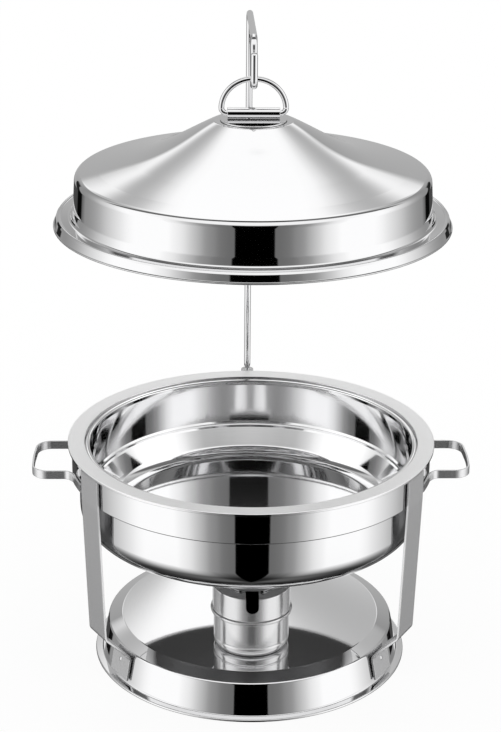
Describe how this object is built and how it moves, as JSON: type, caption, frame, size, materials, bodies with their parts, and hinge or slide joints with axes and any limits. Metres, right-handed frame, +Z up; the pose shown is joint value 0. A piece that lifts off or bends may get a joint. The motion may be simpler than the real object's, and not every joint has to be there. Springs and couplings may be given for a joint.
{
  "type": "round chafing dish",
  "caption": "Round buffet chafing dish on three strip legs, with a domed lid hanging by a D-ring from a hooked rod, a water pan, a food pan and a damped burner.",
  "frame": {"origin": "on the ground, at the middle of the whole object's width and depth", "axes": "+Z up; +Y to the back, where the hanger's rod stands; +X to the right seen from the front. The dish's own round axis stands at y = -0.0085"},
  "size_m": [0.466, 0.425, 0.6774],
  "materials": {
    "polished_steel": "mirror-polished stainless steel",
    "satin_steel": "satin-brushed stainless steel",
    "tinplate": "plain tinned sheet"
  },
  "bodies": {
    "frame": {"base_tray": "polished_steel", "leg_left": "satin_steel", "leg_right": "satin_steel", "leg_rear": "satin_steel", "foot_rivet_left": "polished_steel", "foot_rivet_right": "polished_steel", "foot_rivet_rear": "polished_steel", "support_band": "polished_steel", "handle_left": "polished_steel", "handle_right": "polished_steel", "rod_socket": "satin_steel", "socket_screw_left": "polished_steel", "socket_screw_right": "polished_steel"},
    "water_pan": {"water_pan": "satin_steel"},
    "food_pan": {"food_pan": "polished_steel"},
    "hanger": {"hanger_rod": "polished_steel"},
    "ring": {"d_ring": "polished_steel"},
    "lid": {"lid_shell": "polished_steel", "lid_plate": "polished_steel", "ring_tube": "polished_steel", "lid_stud": "polished_steel", "lid_washer": "polished_steel", "lid_nut": "polished_steel"},
    "burner": {"burner_cup": "polished_steel", "fuel_can": "tinplate"},
    "collar": {"burner_collar": "polished_steel", "damper_rivet": "polished_steel"},
    "damper": {"burner_damper": "polished_steel"}
  },
  "joints": [
    {"name": "water_pan_lift", "type": "slide", "parent": "frame", "child": "water_pan", "axis": [0, 0, 1], "range_m": [0, 0.095]},
    {"name": "food_pan_lift", "type": "slide", "parent": "water_pan", "child": "food_pan", "axis": [0, 0, 1], "range_m": [0, 0.087]},
    {"name": "hanger_swivel", "type": "hinge", "parent": "frame", "child": "hanger", "pos_m": [0, 0.2055, 0.2442], "axis": [0, 0, 1], "range_deg": [-90, 90]},
    {"name": "ring_lift", "type": "slide", "parent": "hanger", "child": "ring", "axis": [0, 0, 1], "range_m": [0, 0.018]},
    {"name": "lid_tilt", "type": "hinge", "parent": "ring", "child": "lid", "pos_m": [0, -0.0085, 0.6008], "axis": [1, 0, 0], "range_deg": [-15, 2.5]},
    {"name": "burner_pull", "type": "slide", "parent": "frame", "child": "burner", "axis": [0, -1, 0], "range_m": [0, 0.16]},
    {"name": "collar_lift", "type": "slide", "parent": "burner", "child": "collar", "axis": [0, 0, 1], "range_m": [0, 0.03]},
    {"name": "damper_swing", "type": "hinge", "parent": "collar", "child": "damper", "pos_m": [0, -0.0495, 0.1144], "axis": [0, 0, 1], "range_deg": [0, 100]}
  ]
}
